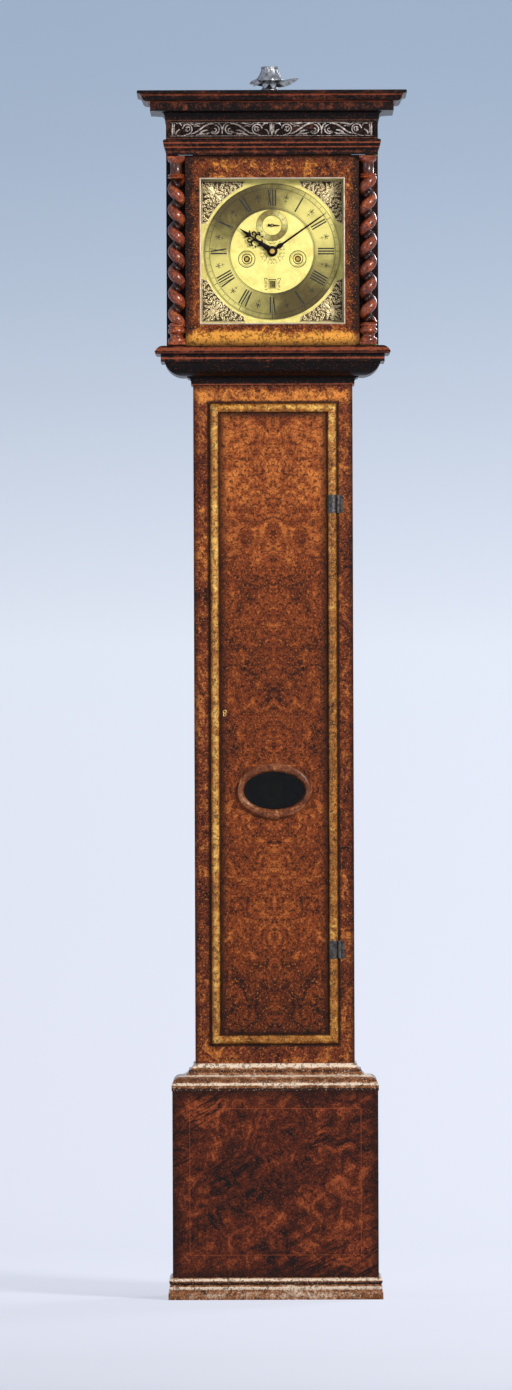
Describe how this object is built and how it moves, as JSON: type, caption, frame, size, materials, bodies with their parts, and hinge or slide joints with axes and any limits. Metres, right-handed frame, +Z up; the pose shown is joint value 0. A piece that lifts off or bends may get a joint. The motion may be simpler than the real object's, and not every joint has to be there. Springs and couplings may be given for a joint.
{
  "type": "longcase clock",
  "caption": "Weight-driven longcase clock: sliding hood with twist columns and glazed door, square dial, long trunk door with oval window, plinth, seconds pendulum and striking bell.",
  "frame": {"origin": "middle of the whole clock's footprint, on the floor", "axes": "+Z up, the dial faces -Y, +X to the right as the dial is read"},
  "size_m": [0.453, 0.2734, 2.071],
  "materials": {
    "walnut": "polished burr walnut veneer",
    "oak": "plain oak",
    "glass": "clear",
    "iron": "blued and blackened iron",
    "brass": "aged brass",
    "gut": "gut line",
    "silvered_metal": "worn silvering",
    "pale_bead": "worn gilding"
  },
  "bodies": {
    "case": {"backboard": "oak", "base_carcass": "walnut", "base_skirting": "walnut", "bell": "brass", "chapter_ring": "brass", "cock_and_bell_stand": "iron", "dial_plate": "brass", "going_line": "gut", "line_ends": "gut", "movement_pillars": "brass", "movement_plates": "brass", "seatboard": "oak", "seconds_ring": "brass", "spandrels": "brass", "strike_line": "gut", "surbase_moulding": "walnut", "throat_moulding": "walnut", "trunk_frame": "walnut", "trunk_hinge_fixed": "iron", "trunk_sides": "oak"},
    "hood": {"hood_carcass": "walnut", "hood_side_glass": "glass", "hood_base_moulding": "walnut", "hood_architrave": "walnut", "hood_frieze": "walnut", "hood_cornice": "walnut", "dial_mask": "oak", "crest_base": "silvered_metal"},
    "hood_door": {"hood_door_frame": "walnut", "hood_door_bead": "pale_bead", "hood_door_glass": "glass", "hood_door_straps": "brass", "hood_columns": "walnut"},
    "trunk_door": {"trunk_door_panel": "walnut", "trunk_door_moulding": "walnut", "lenticle_ring": "walnut", "lenticle_glass": "glass", "trunk_hinge_leaves": "iron", "trunk_lock": "iron"},
    "door_bolt": {"lock_bolt": "iron"},
    "minute_arbor": {"centre_arbor": "brass", "minute_hand": "iron"},
    "hour_wheel_and_hand": {"hour_wheel": "brass", "hour_hand": "iron"},
    "motion_wheel": {"minute_wheel": "brass"},
    "third_wheel": {"third_arbor": "brass"},
    "escape_wheel": {"escape_arbor": "brass", "seconds_hand": "iron"},
    "going_great": {"going_great_wheel": "brass"},
    "strike_great": {"strike_great_wheel": "brass"},
    "going_drum": {"going_barrel": "brass"},
    "strike_drum": {"strike_barrel": "brass"},
    "going_load": {"going_weight": "brass", "going_loop": "gut"},
    "strike_load": {"strike_weight": "brass", "strike_loop": "gut"},
    "pendulum": {"pendulum_rod": "iron", "pendulum_bob": "brass"},
    "anchor_arbor": {"anchor": "iron"},
    "date": {"date_ring": "brass"}
  },
  "joints": [
    {"name": "hood_slide", "type": "slide", "parent": "case", "child": "hood", "axis": [0, -1, 0], "range_m": [0, 0.3]},
    {"name": "hood_door_swing", "type": "hinge", "parent": "hood", "child": "hood_door", "pos_m": [0.172, -0.06075, 1.7635], "axis": [0, 0, 1], "range_deg": [0, 100]},
    {"name": "trunk_door_swing", "type": "hinge", "parent": "case", "child": "trunk_door", "pos_m": [0.1094, -0.0495, 0.9676], "axis": [0, 0, 1], "range_deg": [0, 110]},
    {"name": "door_bolt_slide", "type": "slide", "parent": "trunk_door", "child": "door_bolt", "axis": [-1, 0, 0], "range_m": [0, 0.008]},
    {"name": "minute_turn", "type": "hinge", "parent": "case", "child": "minute_arbor", "pos_m": [0, 0, 1.7625], "axis": [0, 1, 0], "continuous": true},
    {"name": "hour_turn", "type": "hinge", "parent": "case", "child": "hour_wheel_and_hand", "pos_m": [0, 0, 1.7625], "axis": [0, 1, 0], "continuous": true},
    {"name": "motion_turn", "type": "hinge", "parent": "case", "child": "motion_wheel", "pos_m": [0.01986, 0, 1.78236], "axis": [0, 1, 0], "continuous": true},
    {"name": "third_turn", "type": "hinge", "parent": "case", "child": "third_wheel", "pos_m": [0.01846, 0, 1.78691], "axis": [0, 1, 0], "continuous": true},
    {"name": "escape_turn", "type": "hinge", "parent": "case", "child": "escape_wheel", "pos_m": [0, 0, 1.8063], "axis": [0, 1, 0], "continuous": true},
    {"name": "going_great_turn", "type": "hinge", "parent": "case", "child": "going_great", "pos_m": [0.043, 0, 1.7495], "axis": [0, 1, 0], "continuous": true},
    {"name": "strike_great_turn", "type": "hinge", "parent": "case", "child": "strike_great", "pos_m": [-0.043, 0, 1.7495], "axis": [0, 1, 0], "continuous": true},
    {"name": "pendulum_swing", "type": "hinge", "parent": "case", "child": "pendulum", "pos_m": [0, 0.0805, 1.8428], "axis": [0, 1, 0], "range_deg": [-2.5, 2.5]},
    {"name": "anchor_swing", "type": "hinge", "parent": "case", "child": "anchor_arbor", "pos_m": [0, 0, 1.8428], "axis": [0, 1, 0], "range_deg": [-2.6, 2.6]},
    {"name": "going_rise", "type": "slide", "parent": "case", "child": "going_load", "axis": [0, 0, 1], "range_m": [0, 1.2], "deforming": ["going_line"]},
    {"name": "strike_rise", "type": "slide", "parent": "case", "child": "strike_load", "axis": [0, 0, 1], "range_m": [0, 1.2], "deforming": ["strike_line"]},
    {"name": "going_wind", "type": "hinge", "parent": "case", "child": "going_drum", "pos_m": [0.043, 0, 1.7495], "axis": [0, 1, 0], "range_deg": [-1, 5420]},
    {"name": "strike_wind", "type": "hinge", "parent": "case", "child": "strike_drum", "pos_m": [-0.043, 0, 1.7495], "axis": [0, 1, 0], "range_deg": [-1, 5420]},
    {"name": "date_turn", "type": "hinge", "parent": "case", "child": "date", "pos_m": [0, 0, 1.7625], "axis": [0, 1, 0], "continuous": true}
  ],
  "couplings": [
    {"joint": "hour_turn", "follows": "minute_turn", "ratio": 0.083333},
    {"joint": "motion_turn", "follows": "minute_turn", "ratio": -1},
    {"joint": "third_turn", "follows": "minute_turn", "ratio": -7.5},
    {"joint": "escape_turn", "follows": "minute_turn", "ratio": 60},
    {"joint": "going_great_turn", "follows": "minute_turn", "ratio": -0.083333},
    {"joint": "anchor_swing", "follows": "pendulum_swing", "ratio": 1},
    {"joint": "going_wind", "follows": "going_rise", "rad_per_m": 78.585},
    {"joint": "strike_wind", "follows": "strike_rise", "rad_per_m": 78.585}
  ]
}
